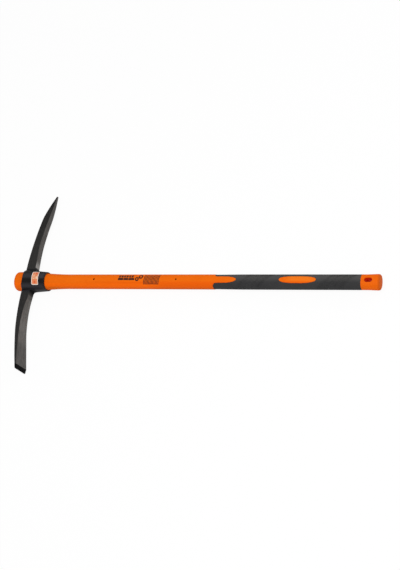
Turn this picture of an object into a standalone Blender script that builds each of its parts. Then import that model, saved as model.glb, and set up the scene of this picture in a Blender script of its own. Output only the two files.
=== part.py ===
"""A pickaxe: a slip-fit forged head on a moulded handle with a fibreglass core, lying on its side.

X runs down the handle from the crown to the butt, Y points along the pointed arm, and Z is up as the
tool lies. The origin is the middle of the crown's flat end. All sizes are in metres.
"""

import math

import bmesh
import bpy
from mathutils import Matrix

# Fits and cuts
GAP = 0.0003  # left between pieces that touch
CUT_ROOM = 0.0100  # how far a cutter runs past what it opens

# Handle, along X from the crown
HANDLE_LENGTH = 0.900
HANDLE_SIDES = 44
HANDLE_POWER = 2.15  # 2 is an ellipse, more is squarer
HEAD_END_HEIGHT = 0.0462  # the swollen end that jams in the eye, along Y
HEAD_END_WIDTH = 0.0424  # the same, along Z
NECK_START = 0.012
NECK_END = 0.146
SHAFT_HEIGHT = 0.0338
SHAFT_WIDTH = 0.0346
REAR_HEIGHT = 0.0334  # the shaft at the grip's rear edge
REAR_WIDTH = 0.0308
BUTT_HEIGHT = 0.0350
BUTT_WIDTH = 0.0314
FLARE_TO_BUTT = 0.030  # from where the butt starts to swell
FLARE_LENGTH = 0.024
CROWN_ROUNDING = 0.0070
BUTT_ROUNDING = 0.0044

# Core rod
CORE_DIAMETER = 0.0210
CORE_START = 0.009
CORE_TO_BUTT = 0.052
CORE_CHAMFER = 0.0010
CORE_SIDES = 32

# Support-pin holes through the jacket, down to the core
PIN_HOLE_DIAMETER = 0.0042
PIN_HOLE_SIDES = 16
FIRST_PIN = 0.218
SECOND_PIN_TO_GRIP = 0.0905

# Hang slot through the butt
SLOT_TO_BUTT = 0.0250
SLOT_LENGTH = 0.0168
SLOT_HEIGHT = 0.0094
SLOT_LIP = 0.0012  # the flare round its mouths

# Grip sleeve
GRIP_TO_BUTT = 0.0412
GRIP_LENGTH = 0.3398
GRIP_WALL = 0.0024
GRIP_FRONT_DIP = 0.0006  # how far its front lies below the orange jacket
GRIP_DIP_LENGTH = 0.075
LAND_GAP = 0.0006  # the groove round the orange lands that show through it
LOBE_CORNER = 0.0080  # the radius of the lobes' front corners
LOBE_SETBACK = 0.0024  # how far the lobe on the point's side starts behind the other
TONGUE_HEIGHT = 0.0160
TONGUE_STRAIGHT = 0.0275  # both tongue lengths are counted from the grip's front
TONGUE_LENGTH = 0.0562
WINDOW_TO_FRONT = 0.1986  # from the grip's front to the window's middle
WINDOW_LENGTH = 0.0852
WINDOW_HEIGHT = 0.0170
WINDOW_POWER = 2.5
WINDOW_SIDES = 40

# Slanted grooves round the sleeve
GROOVE_DEPTH = 0.0008
GROOVE_WIDTH = 0.0018
GROOVE_PITCH = 0.0150
GROOVE_SLANT = math.radians(42)
FRONT_GROOVES = 0.0775  # from the grip's front to the first groove of each field
REAR_GROOVES = 0.2675
GROOVES_IN_A_FIELD = 4

# Head, along X: the eye collar
COLLAR_BACK = 0.0222  # the crown side, at the arms
COLLAR_MOUTH = 0.0862
COLLAR_WALL = 0.0036  # beside the eye along Y, at the arms
CHEEK_WALL = 0.0040  # the same along Z
COLLAR_POWER = 2.4
MOUTH_WALL = 0.0023
MOUTH_CHEEK_WALL = 0.0042
MOUTH_POWER = 2.3
TAPER_START = 0.030
BACK_ROUNDING = 0.0050
RIM_ROUNDING = 0.0016
EYE_FLARE = 0.0012  # the eye opens at the mouth by this much all round
EYE_FLARE_LENGTH = 0.0026
CHEEK_RADIUS = 0.0740  # the crown side is rounded, seen along the arms
COLLAR_SIDES = 56

# Arms, from the handle's axis outwards along Y
# Each row: reach, middle along X, thickness along X, width along Z
ARM_EDGE_RADIUS = 0.0022
LARGEST_ROUNDING = 0.42  # of what the rounding lies on
ARM_START = 0.016
FILLET_REACH = 1.2  # the fillets lie within this many times the collar's half height
ROOT_FILLET = 0.0065  # on the handle's side, where the arms leave the collar
ROOT_FILLET_SIDES = 0.0090  # the same on the arms' two flat sides
FILLET_SINK = 0.0005  # how far the fillets' ends lie under the collar's skin
POINT_ARM = (
    (0.016, 0.0355, 0.0260, 0.0206),
    (0.030, 0.0354, 0.0256, 0.0197),
    (0.045, 0.0353, 0.0250, 0.0190),
    (0.064, 0.0354, 0.0227, 0.0195),
    (0.095, 0.0372, 0.0196, 0.0203),
    (0.130, 0.0411, 0.0188, 0.0191),
    (0.162, 0.0462, 0.0186, 0.0176),
)
POINT_REACH = 0.2264
POINT_TIP_MIDDLE = 0.0604
POINT_TIP_THICKNESS = 0.0032
POINT_TIP_WIDTH = 0.0044
TIP_SHARES = (0.12, 0.3, 0.5, 0.7, 0.87, 0.96)  # sections between the arm and the tip
TIP_POWER = 1.35  # more keeps the arm full for longer
TIP_WIDTH_POWER = 0.8
CHISEL_ARM = (
    (0.016, 0.0348, 0.0250, 0.0226),
    (0.030, 0.0343, 0.0242, 0.0216),
    (0.045, 0.0337, 0.0228, 0.0220),
    (0.062, 0.0334, 0.0188, 0.0262),
    (0.090, 0.0347, 0.0152, 0.0310),
    (0.125, 0.0388, 0.0125, 0.0360),
    (0.160, 0.0461, 0.0098, 0.0424),
    (0.195, 0.0542, 0.0070, 0.0476),
)
BLADE_WIDTH = 0.0488
BLADE_THICKNESS = 0.0060  # where the bevel starts
BLADE_MIDDLE = 0.0593
BEVEL_START = 0.2155
CHISEL_REACH = 0.2260
EDGE_MIDDLE = 0.0602
EDGE_THICKNESS = 0.0012
BLADE_CORNER = 0.0030
CORNER_TURNS = (0, 30, 60, 85)  # degrees round the blade's corners

ORANGE = (0.83, 0.15, 0.008, 1)
GREY = (0.045, 0.044, 0.044, 1)
STEEL = (0.022, 0.022, 0.024, 1)
GLASS = (0.10, 0.07, 0.05, 1)

# Places along X that follow from the sizes above
FLARE_START = HANDLE_LENGTH - FLARE_TO_BUTT
SLOT_MIDDLE = HANDLE_LENGTH - SLOT_TO_BUTT
CORE_END = HANDLE_LENGTH - CORE_TO_BUTT
GRIP_END = HANDLE_LENGTH - GRIP_TO_BUTT
GRIP_START = GRIP_END - GRIP_LENGTH
PIN_PLACES = (FIRST_PIN, GRIP_START - SECOND_PIN_TO_GRIP)


def material(name, colour, roughness, metallic=0.0):
    made = bpy.data.materials.new(name)
    made.use_nodes = True
    shader = made.node_tree.nodes["Principled BSDF"]
    shader.inputs["Base Color"].default_value = colour
    shader.inputs["Roughness"].default_value = roughness
    shader.inputs["Metallic"].default_value = metallic
    return made


def ease(value, start, end):
    """0 before start, 1 after end, and level at both."""
    share = min(max((value - start) / (end - start), 0.0), 1.0)
    return share * share * (3 - 2 * share)


def mix(first, second, share):
    return first + (second - first) * share


def object_from(bm, name):
    bmesh.ops.recalc_face_normals(bm, faces=bm.faces)
    mesh = bpy.data.meshes.new(name)
    bm.to_mesh(mesh)
    bm.free()
    made = bpy.data.objects.new(name, mesh)
    bpy.context.scene.collection.objects.link(made)
    return made


def helper(made):
    made.hide_render = True
    made.display_type = "WIRE"
    return made


def loft(name, sections):
    """A closed body through the sections, each a list of as many points, with flat ends."""
    bm = bmesh.new()
    loops = []
    for section in sections:
        points = [bm.verts.new(point) for point in section]
        loops.append([bm.edges.new((a, b)) for a, b in zip(points, points[1:] + points[:1])])
    for near, far in zip(loops, loops[1:]):
        bmesh.ops.bridge_loops(bm, edges=near + far)
    for end in (loops[0], loops[-1]):
        bmesh.ops.edgeloop_fill(bm, edges=end)
    return object_from(bm, name)


def prism(name, outline, bottom, top):
    """The outline, a list of (x, y), from one height to the other."""
    bm = bmesh.new()
    face = bm.faces.new([bm.verts.new((x, y, bottom)) for x, y in outline])
    raised = bmesh.ops.extrude_face_region(bm, geom=[face], use_keep_orig=True)["geom"]
    corners = [item for item in raised if isinstance(item, bmesh.types.BMVert)]
    bmesh.ops.translate(bm, verts=corners, vec=(0, 0, top - bottom))
    return object_from(bm, name)


def combine(target, operation, other):
    """Changes the target by a Boolean with a helper, which is then no longer needed."""
    step = target.modifiers.new(operation.title(), "BOOLEAN")
    step.operation = operation
    step.solver = "EXACT"
    step.object = helper(other)
    bpy.context.view_layer.update()
    graph = bpy.context.evaluated_depsgraph_get()
    result = bpy.data.meshes.new_from_object(target.evaluated_get(graph))
    target.modifiers.remove(step)
    target.data = result
    bpy.data.objects.remove(other)


def oval(half_height, half_width, power, sides):
    """Points (y, z) round a superellipse. None lies on an axis, where a cut would meet it."""
    points = []
    for step in range(sides):
        turn = 2 * math.pi * (step + 0.5) / sides
        y = math.copysign(abs(math.cos(turn)) ** (2 / power), math.cos(turn))
        z = math.copysign(abs(math.sin(turn)) ** (2 / power), math.sin(turn))
        points.append((half_height * y, half_width * z))
    return points


def handle_halves(x):
    """Half the handle's height and half its width at x, without its end roundings."""
    neck = ease(x, NECK_START, NECK_END)
    flare = ease(x, FLARE_START, FLARE_START + FLARE_LENGTH)
    along = min(max((x - NECK_END) / (GRIP_END - NECK_END), 0.0), 1.0)
    height = mix(mix(HEAD_END_HEIGHT, SHAFT_HEIGHT, neck), REAR_HEIGHT, along)
    width = mix(mix(HEAD_END_WIDTH, SHAFT_WIDTH, neck), REAR_WIDTH, along)
    return mix(height, BUTT_HEIGHT, flare) / 2, mix(width, BUTT_WIDTH, flare) / 2


def handle_ring(x, outwards=0.0):
    half_height, half_width = handle_halves(x)
    shape = oval(half_height + outwards, half_width + outwards, HANDLE_POWER, HANDLE_SIDES)
    return [(x, y, z) for y, z in shape]


def rounded_end(end, radius, inwards, steps=4):
    """Stations (x, how far the section is drawn in) of a quarter round at an end."""
    stations = []
    for step in range(steps + 1):
        turn = math.pi / 2 * step / steps
        stations.append((end + inwards * radius * (1 - math.sin(turn)), radius * (1 - math.cos(turn))))
    return stations


def spread(start, end, count):
    return [mix(start, end, step / (count - 1)) for step in range(count)]


def handle_blank():
    """The whole handle as one solid, before the core, the grip and the slot are taken out of it."""
    crown = rounded_end(0.0, CROWN_ROUNDING, 1)[::-1]
    butt = rounded_end(HANDLE_LENGTH, BUTT_ROUNDING, -1)
    sections = [handle_ring(x, -drawn_in) for x, drawn_in in crown]
    neck = spread(CROWN_ROUNDING, NECK_END, 11)[1:]
    shaft = spread(NECK_END, FLARE_START, 6)[1:]
    flare = spread(FLARE_START, FLARE_START + FLARE_LENGTH, 4)[1:]
    sections += [handle_ring(x) for x in neck + shaft + flare]
    sections += [handle_ring(x, -drawn_in) for x, drawn_in in butt]
    return loft("handle_jacket", sections)


def grip_dip(x):
    return GRIP_FRONT_DIP * (1 - ease(x, GRIP_START, GRIP_START + GRIP_DIP_LENGTH))


def grip_shell(name, outside, inside, end_room):
    """The grip's tube, its skins moved outwards by the two values and its ends by the third."""
    places = spread(GRIP_START - end_room, GRIP_START + GRIP_DIP_LENGTH, 4)
    places += spread(GRIP_START + GRIP_DIP_LENGTH, GRIP_END + end_room, 4)[1:]
    shell = loft(name, [handle_ring(x, outside - grip_dip(x)) for x in places])
    bore = [places[0] - CUT_ROOM] + places[1:-1] + [places[-1] + CUT_ROOM]
    combine(shell, "DIFFERENCE", loft("bore", [handle_ring(x, inside - GRIP_WALL) for x in bore]))
    return shell


def window_outline(room):
    """The land's outline seen from above, larger by the room on every side."""
    points = []
    for along, up in oval(WINDOW_LENGTH / 2 + room, WINDOW_HEIGHT / 2 + room, WINDOW_POWER,
                          WINDOW_SIDES):
        points.append((GRIP_START + WINDOW_TO_FRONT + along, up))
    return points


def arc(centre, radius_x, radius_y, start, end, steps):
    turns = [mix(start, end, step / steps) for step in range(steps + 1)]
    return [(centre[0] + radius_x * math.cos(t), centre[1] + radius_y * math.sin(t)) for t in turns]


def tongue_outline(room):
    """What lies in front of the grip's scalloped edge, seen from above, larger by the room."""
    half = TONGUE_HEIGHT / 2 + room
    beyond = SHAFT_HEIGHT
    corner = LOBE_CORNER - room
    nose = arc((GRIP_START + TONGUE_STRAIGHT, 0), TONGUE_LENGTH - TONGUE_STRAIGHT + room, half,
               0, math.pi / 2, 8)

    def half_outline(front):
        lobe = arc((front + corner, half + corner), corner, corner, 1.5 * math.pi, math.pi, 4)
        return nose + lobe + [(front, beyond), (GRIP_START - CUT_ROOM, beyond)]

    upper = half_outline(GRIP_START + LOBE_SETBACK + room)
    lower = half_outline(GRIP_START + room)
    return upper + [(x, -y) for x, y in reversed(lower[1:])]


def cut_lands(body, room):
    """Opens the windows and the front scallops in a grip tube, on both faces."""
    reach = SHAFT_WIDTH
    combine(body, "DIFFERENCE", prism("window", window_outline(room), -reach, reach))
    combine(body, "DIFFERENCE", prism("tongue", tongue_outline(room), -reach, reach))


def groove_cutter(start):
    """A field of slanted slots: slabs through the handle, kept only just under the grip's skin."""
    slabs = None
    reach = SHAFT_HEIGHT
    shift = reach / math.tan(GROOVE_SLANT)
    half = GROOVE_WIDTH / 2 / math.sin(GROOVE_SLANT)
    for number in range(GROOVES_IN_A_FIELD):
        x = start + number * GROOVE_PITCH
        outline = [(x - shift - half, -reach), (x - shift + half, -reach),
                   (x + shift + half, reach), (x + shift - half, reach)]
        slab = prism("slab", outline, -reach, reach)
        if slabs is None:
            slabs = slab
        else:
            combine(slabs, "UNION", slab)
    places = spread(start - shift - GROOVE_PITCH, start + shift + GROOVES_IN_A_FIELD * GROOVE_PITCH, 5)
    inner = loft("inner", [handle_ring(x, -GROOVE_DEPTH) for x in places])
    combine(slabs, "DIFFERENCE", inner)
    return slabs


def make_core():
    bm = round_bar(CORE_DIAMETER / 2, CORE_START, CORE_END, CORE_SIDES)
    rims = []
    for edge in bm.edges:
        near, far = edge.link_faces
        if len(near.verts) != len(far.verts):
            rims.append(edge)
    bmesh.ops.bevel(bm, geom=rims, offset=CORE_CHAMFER, segments=1, profile=0.5, affect="EDGES",
                    material=-1)
    lay_along_x(bm)
    return object_from(bm, "handle_core")


def round_bar(radius, start, end, sides):
    """A round bar along Z."""
    bm = bmesh.new()
    bmesh.ops.create_cone(bm, cap_ends=True, segments=sides, radius1=radius, radius2=radius,
                          depth=end - start)
    bmesh.ops.translate(bm, verts=bm.verts, vec=(0, 0, (start + end) / 2))
    return bm


def lay_along_x(bm):
    bmesh.ops.rotate(bm, verts=bm.verts, matrix=Matrix.Rotation(math.pi / 2, 3, "Y"))


def core_cavity():
    """The room for the core rod, with the holes that the mould's support pins left down to it."""
    room = round_bar(CORE_DIAMETER / 2 + GAP, CORE_START - GAP, CORE_END + GAP, CORE_SIDES)
    lay_along_x(room)
    cavity = object_from(room, "cavity")
    for place in PIN_PLACES:
        pin = round_bar(PIN_HOLE_DIAMETER / 2, -SHAFT_WIDTH, SHAFT_WIDTH, PIN_HOLE_SIDES)
        bmesh.ops.translate(pin, verts=pin.verts, vec=(place, 0, 0))
        combine(cavity, "UNION", object_from(pin, "pin"))
    return cavity


def slot_cutter():
    """The hang slot with flared mouths, as a loft of rounded slots along Z."""
    half_width = handle_halves(SLOT_MIDDLE)[1]
    stations = [(half_width + SLOT_LIP, 2 * SLOT_LIP), (half_width, SLOT_LIP),
                (half_width - SLOT_LIP / 2, SLOT_LIP / 3), (half_width - 1.5 * SLOT_LIP, 0)]
    stations += [(-height, lip) for height, lip in reversed(stations)]
    straight = (SLOT_LENGTH - SLOT_HEIGHT) / 2
    sections = []
    for height, lip in stations:
        radius = SLOT_HEIGHT / 2 + lip
        rear = arc((SLOT_MIDDLE + straight, 0), radius, radius, -math.pi / 2, math.pi / 2, 8)
        front = arc((SLOT_MIDDLE - straight, 0), radius, radius, math.pi / 2, 1.5 * math.pi, 8)
        sections.append([(x, y, height) for x, y in rear + front])
    return loft("slot", sections)


def make_jacket():
    jacket = handle_blank()
    recess = grip_shell("recess", 2 * GRIP_WALL, -GAP, GAP)
    cut_lands(recess, -LAND_GAP)
    combine(jacket, "DIFFERENCE", recess)
    combine(jacket, "DIFFERENCE", core_cavity())
    combine(jacket, "DIFFERENCE", slot_cutter())
    return jacket


def make_grip():
    grip = grip_shell("grip_sleeve", 0.0, 0.0, 0.0)
    cut_lands(grip, 0.0)
    for start in (FRONT_GROOVES, REAR_GROOVES):
        combine(grip, "DIFFERENCE", groove_cutter(GRIP_START + start))
    return grip


def collar_halves(x):
    """The collar's outside: the eye's size at the crown and at the mouth, with a wall round each."""
    share = min(max((x - TAPER_START) / (COLLAR_MOUTH - TAPER_START), 0.0), 1.0)
    crown, mouth = handle_halves(NECK_START), handle_halves(COLLAR_MOUTH)
    height = mix(crown[0] + COLLAR_WALL, mouth[0] + MOUTH_WALL, share)
    width = mix(crown[1] + CHEEK_WALL, mouth[1] + MOUTH_CHEEK_WALL, share)
    return height + GAP, width + GAP


def collar_ring(x, drawn_in):
    half_height, half_width = collar_halves(x)
    power = mix(COLLAR_POWER, MOUTH_POWER, ease(x, TAPER_START, COLLAR_MOUTH))
    shape = oval(half_height - drawn_in, half_width - drawn_in, power, COLLAR_SIDES)
    return [(x, y, z) for y, z in shape]


def make_collar():
    """The eye's outside: a tapered socket."""
    back = rounded_end(COLLAR_BACK, BACK_ROUNDING, 1)[::-1]
    mouth = rounded_end(COLLAR_MOUTH, RIM_ROUNDING, -1)
    sections = [collar_ring(x, drawn_in) for x, drawn_in in back]
    sections += [collar_ring(x, 0) for x in spread(TAPER_START, COLLAR_MOUTH - RIM_ROUNDING, 6)[:-1]]
    sections += [collar_ring(x, drawn_in) for x, drawn_in in mouth]
    return loft("pick_head", sections)


def crown_side_cutter():
    """What lies on the crown's side of a round back, seen along the arms."""
    reach = FILLET_REACH * collar_halves(COLLAR_BACK)[0]
    turn = math.asin(reach / CHEEK_RADIUS)
    round_back = arc((COLLAR_BACK + CHEEK_RADIUS, 0), CHEEK_RADIUS, CHEEK_RADIUS, math.pi - turn,
                     math.pi + turn, 14)
    outline = round_back + [(-CUT_ROOM, -reach), (-CUT_ROOM, reach)]
    cutter = prism("crown_side", outline, -reach, reach)
    cutter.data.transform(Matrix.Rotation(math.pi / 2, 4, "X"))
    return cutter


def curve_through(rows, at):
    """The rows' values at a place, on a smooth curve through the rows (place, value, value, ...)."""
    places = [row[0] for row in rows]
    last = len(rows) - 1
    part = max(index for index in range(last) if index == 0 or places[index] <= at)
    start, end = places[part], places[part + 1]
    share = (at - start) / (end - start)
    values = []
    for column in range(1, len(rows[0])):
        def slope(index):
            low, high = max(index - 1, 0), min(index + 1, last)
            return (rows[high][column] - rows[low][column]) / (places[high] - places[low])
        first, second = rows[part][column], rows[part + 1][column]
        out, into = slope(part) * (end - start), slope(part + 1) * (end - start)
        value = (2 * share**3 - 3 * share**2 + 1) * first + (3 * share**2 - 2 * share**3) * second
        value += (share**3 - 2 * share**2 + share) * out + (share**3 - share**2) * into
        values.append(value)
    return values


def fillet(reach, seat, radius):
    """How far a round of this radius stands out at the reach, if it ends level with its seat."""
    away = min(max(radius - (reach - seat), 0.0), radius)
    return radius - math.sqrt(radius**2 - away**2)


def fillet_seats(rows):
    """How far out the fillets end on the collar's skin: on the handle's side, and on the flat sides."""
    middle, thickness, width = rows[0][1:]
    face = middle + thickness / 2
    inner = collar_halves(face + ROOT_FILLET)[0]
    half_height, half_width = collar_halves(face)
    out = (width / 2 + ROOT_FILLET_SIDES) / half_width
    sides = half_height * (1 - out**COLLAR_POWER) ** (1 / COLLAR_POWER)
    return inner - FILLET_SINK, sides - FILLET_SINK


def arm_size(rows, reach):
    """An arm's middle, thickness and width, with the fillets at its root."""
    middle, thickness, width = curve_through(rows, reach)
    seat, side_seat = fillet_seats(rows)
    inner = fillet(reach, seat, ROOT_FILLET)
    sides = fillet(reach, side_seat, ROOT_FILLET_SIDES)
    return middle + inner / 2, thickness + inner, width + 2 * sides


def root_reaches(rows):
    """Sections closer together where the fillets bend."""
    seat, side_seat = fillet_seats(rows)
    bend = [side_seat + ROOT_FILLET_SIDES * share**2 for share in spread(0.0, 1.0, 6)]
    bend += [seat + ROOT_FILLET * share**2 for share in spread(0.1, 1.0, 5)]
    return [ARM_START] + sorted(bend)


def arm_section(reach, middle, thickness, width, side):
    """A bar's section with rounded edges, square to Y. Side 1 is the point, -1 the chisel."""
    radius = min(ARM_EDGE_RADIUS, LARGEST_ROUNDING * thickness, LARGEST_ROUNDING * width)
    along, up = thickness / 2 - radius, width / 2 - radius
    points = []
    for quarter, (sign_x, sign_z) in enumerate(((1, 1), (-1, 1), (-1, -1), (1, -1))):
        start = quarter * math.pi / 2
        centre = (middle + sign_x * along, sign_z * up)
        corner = arc(centre, radius, radius, start, start + math.pi / 2, 3)
        points += [(x, side * reach, z) for x, z in corner]
    return points


def make_point_arm():
    rows = POINT_ARM
    tip = (POINT_REACH, POINT_TIP_MIDDLE, POINT_TIP_THICKNESS, POINT_TIP_WIDTH)
    root = root_reaches(rows)
    reaches = root + spread(root[-1], rows[-1][0], 16)[1:]
    sections = [arm_section(reach, *arm_size(rows, reach), 1) for reach in reaches]
    start = rows[-1]
    middles = rows[-2:] + (tip,)
    for share in TIP_SHARES:
        reach = mix(start[0], POINT_REACH, share)
        middle = curve_through(middles, reach)[0]
        fullness = 1 - share**TIP_POWER
        sections.append(arm_section(reach, middle, mix(tip[2], start[2], fullness),
                                    mix(tip[3], start[3], fullness**TIP_WIDTH_POWER), 1))
    sections.append(arm_section(*tip, 1))
    return loft("point_arm", sections)


def make_chisel_arm():
    bevel = (BEVEL_START, BLADE_MIDDLE, BLADE_THICKNESS, BLADE_WIDTH)
    rows = CHISEL_ARM + (bevel,)
    root = root_reaches(rows)
    reaches = root + spread(root[-1], BEVEL_START, 22)[1:]
    sections = [arm_section(reach, *arm_size(rows, reach), -1) for reach in reaches]
    corner_start = CHISEL_REACH - BLADE_CORNER
    for turn in [math.radians(degrees) for degrees in CORNER_TURNS]:
        reach = corner_start + BLADE_CORNER * math.sin(turn)
        share = (reach - BEVEL_START) / (CHISEL_REACH - BEVEL_START)
        width = BLADE_WIDTH - 2 * BLADE_CORNER * (1 - math.cos(turn))
        sections.append(arm_section(reach, mix(BLADE_MIDDLE, EDGE_MIDDLE, share),
                                    mix(BLADE_THICKNESS, EDGE_THICKNESS, share), width, -1))
    return loft("chisel_arm", sections)


def eye_cutter():
    """The eye follows the handle's head end with a gap all round, and flares at the mouth."""
    flare_start = COLLAR_MOUTH - EYE_FLARE_LENGTH
    sections = [handle_ring(x, GAP) for x in spread(COLLAR_BACK - CUT_ROOM, flare_start, 11)]
    sections.append(handle_ring(COLLAR_MOUTH + EYE_FLARE_LENGTH, GAP + 2 * EYE_FLARE))
    return loft("eye", sections)


def make_head():
    head = make_collar()
    combine(head, "UNION", make_point_arm())
    combine(head, "UNION", make_chisel_arm())
    combine(head, "DIFFERENCE", crown_side_cutter())
    combine(head, "DIFFERENCE", eye_cutter())
    return head


def finish(piece, surface, parent, crease):
    piece.data.materials.clear()
    piece.data.materials.append(surface)
    piece.data.shade_smooth()
    piece.data.set_sharp_from_angle(angle=math.radians(crease))
    piece.parent = parent


def group(name):
    made = bpy.data.objects.new(name, None)
    bpy.context.scene.collection.objects.link(made)
    return made


def main():
    for old in list(bpy.data.objects):
        bpy.data.objects.remove(old)
    handle, head = group("handle"), group("head")
    finish(make_core(), material("fibreglass", GLASS, 0.45), handle, 30)
    finish(make_jacket(), material("orange_plastic", ORANGE, 0.38), handle, 30)
    finish(make_grip(), material("grey_rubber", GREY, 0.7), handle, 30)
    finish(make_head(), material("forged_steel", STEEL, 0.45, 0.0), head, 30)


main()
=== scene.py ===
"""The looks of the pickaxe: its head, handle moulding, grip, label, print, materials, light and camera.

X runs down the handle from the crown, Y points along the pointed arm, Z is up as the tool lies. Metres.
"""

import math

import bmesh
import bpy
import numpy as np
from mathutils import Matrix, Vector


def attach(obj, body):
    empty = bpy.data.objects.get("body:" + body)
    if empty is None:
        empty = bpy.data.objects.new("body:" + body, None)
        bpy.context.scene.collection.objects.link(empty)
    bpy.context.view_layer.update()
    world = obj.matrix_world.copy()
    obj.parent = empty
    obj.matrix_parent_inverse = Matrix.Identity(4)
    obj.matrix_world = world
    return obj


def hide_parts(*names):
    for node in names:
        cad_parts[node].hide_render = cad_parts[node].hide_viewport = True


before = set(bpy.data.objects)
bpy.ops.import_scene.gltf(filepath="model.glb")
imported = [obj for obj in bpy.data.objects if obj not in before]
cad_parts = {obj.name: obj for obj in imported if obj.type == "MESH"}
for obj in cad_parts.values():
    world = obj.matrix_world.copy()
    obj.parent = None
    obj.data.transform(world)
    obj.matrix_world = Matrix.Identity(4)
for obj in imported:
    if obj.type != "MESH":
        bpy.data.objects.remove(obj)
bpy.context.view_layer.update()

# Handle, along X from the crown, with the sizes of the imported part
HANDLE_LENGTH = 0.900
HANDLE_SIDES = 96
HANDLE_POWER = 2.15  # 2 is an ellipse, more is squarer
HEAD_END_HEIGHT, HEAD_END_WIDTH = 0.0462, 0.0424
NECK_START, NECK_END = 0.012, 0.146
SHAFT_HEIGHT, SHAFT_WIDTH = 0.0338, 0.0346
REAR_HEIGHT, REAR_WIDTH = 0.0334, 0.0308
BUTT_HEIGHT, BUTT_WIDTH = 0.0350, 0.0314
FLARE_START = HANDLE_LENGTH - 0.030
FLARE_END = FLARE_START + 0.024
CROWN_ROUNDING, BUTT_ROUNDING = 0.0070, 0.0044
PIN_DIAMETER = 0.0042
CORE_DIAMETER = 0.0210
CORE_START, CORE_END = 0.009, HANDLE_LENGTH - 0.052
SLOT_MIDDLE = HANDLE_LENGTH - 0.0250
SLOT_LENGTH, SLOT_HEIGHT, SLOT_LIP = 0.0168, 0.0094, 0.0012
GAP = 0.0003  # left between pieces that touch
CUT_ROOM = 0.0100  # how far a cutter runs past what it opens

# Grip
GRIP_END = HANDLE_LENGTH - 0.0412
GRIP_START = GRIP_END - 0.3398
GRIP_WALL = 0.0024
GRIP_FRONT_DIP, GRIP_DIP_LENGTH = 0.0006, 0.075
LAND_GAP = 0.0006
LOBE_CORNER, LOBE_SETBACK = 0.0080, 0.0024
TONGUE_HEIGHT, TONGUE_STRAIGHT, TONGUE_LENGTH = 0.0160, 0.0275, 0.0562
WINDOW_MIDDLE = GRIP_START + 0.1986
WINDOW_LENGTH, WINDOW_HEIGHT, WINDOW_POWER = 0.0852, 0.0170, 2.5
GROOVE_DEPTH, GROOVE_WIDTH, GROOVE_PITCH = 0.0008, 0.0018, 0.0150
GROOVE_SLANT = math.radians(42)
GROOVE_STARTS = (GRIP_START + 0.0775, GRIP_START + 0.2675)
GROOVES_IN_A_FIELD = 4
FINE_STEPS = 5  # fine grooves part the pitch of the deep ones in as many steps
FINE_PITCH = GROOVE_PITCH / FINE_STEPS
FINE_BESIDE = 2  # fine grooves past the outer deep ones
FINE_DEPTH, FINE_WIDTH = 0.0004, 0.0011
PIN_PLACES = (0.218, GRIP_START - 0.0905)

# Head
COLLAR_BACK, COLLAR_MOUTH = 0.0222, 0.0862
COLLAR_WALL, CHEEK_WALL = 0.0036, 0.0040
MOUTH_WALL, MOUTH_CHEEK_WALL = 0.0023, 0.0042
COLLAR_POWER, MOUTH_POWER = 2.4, 2.3
TAPER_START = 0.030
BACK_ROUNDING, RIM_ROUNDING = 0.0050, 0.0016
EYE_FLARE, EYE_FLARE_LENGTH = 0.0012, 0.0026
CHEEK_RADIUS = 0.0740
COLLAR_SIDES = 128
ARM_EDGE_RADIUS = 0.0022
ARM_START = 0.016
LARGEST_ROUNDING = 0.42  # of the side that the rounding lies on
EDGE_STEPS = 8
FILLET_REACH = 1.2  # the crown side is cut within this many times the collar's half height
RUN_OUT = 0.0030  # how far that cut draws back along each arm
ROOT_FILLET, ROOT_FILLET_SIDES, FILLET_SINK = 0.0065, 0.0090, 0.0005
# Each row of an arm: reach from the axis, middle along X, thickness along X, width along Z
POINT_ROWS = (
    (0.016, 0.0355, 0.0260, 0.0206),
    (0.030, 0.0354, 0.0256, 0.0197),
    (0.045, 0.0353, 0.0250, 0.0190),
    (0.064, 0.0354, 0.0227, 0.0195),
    (0.095, 0.0372, 0.0196, 0.0203),
    (0.130, 0.0411, 0.0188, 0.0191),
    (0.162, 0.0462, 0.0186, 0.0176),
)
POINT_TIP = (0.2264, 0.0604, 0.0032, 0.0044)
TIP_STEPS = 24
TIP_CROWDING = 1.3  # more sets the sections closer together at the tip
TIP_POWER, TIP_WIDTH_POWER = 1.35, 0.8  # the first keeps the arm full for longer
CHISEL_ROWS = (
    (0.016, 0.0348, 0.0250, 0.0226),
    (0.030, 0.0343, 0.0242, 0.0216),
    (0.045, 0.0337, 0.0228, 0.0220),
    (0.062, 0.0334, 0.0188, 0.0262),
    (0.090, 0.0347, 0.0152, 0.0310),
    (0.125, 0.0388, 0.0125, 0.0360),
    (0.160, 0.0461, 0.0098, 0.0424),
    (0.195, 0.0542, 0.0070, 0.0476),
    (0.2155, 0.0593, 0.0060, 0.0488),
)
BEVEL_START, CHISEL_REACH = 0.2155, 0.2260
EDGE_MIDDLE, EDGE_THICKNESS = 0.0602, 0.0012
BLADE_CORNER = 0.0030
CORNER_TURN, CORNER_STEPS = math.radians(85), 10
RIM_SHADE = 0.0822  # where the painted shade at the collar's rim starts

# Label, on the collar's cheek
LABEL_MIDDLE = (0.0614, 0.0006)
LABEL_LENGTH, LABEL_WIDTH, LABEL_CORNER = 0.0333, 0.0177, 0.0024
LABEL_LEAN, LABEL_SLOPE = -0.090, 0.02  # of its long sides, and of its ends
LABEL_LIFT, LABEL_THICKNESS = 0.00004, 0.00012
LABEL_ROWS, LABEL_COLUMNS = 60, 24

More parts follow.
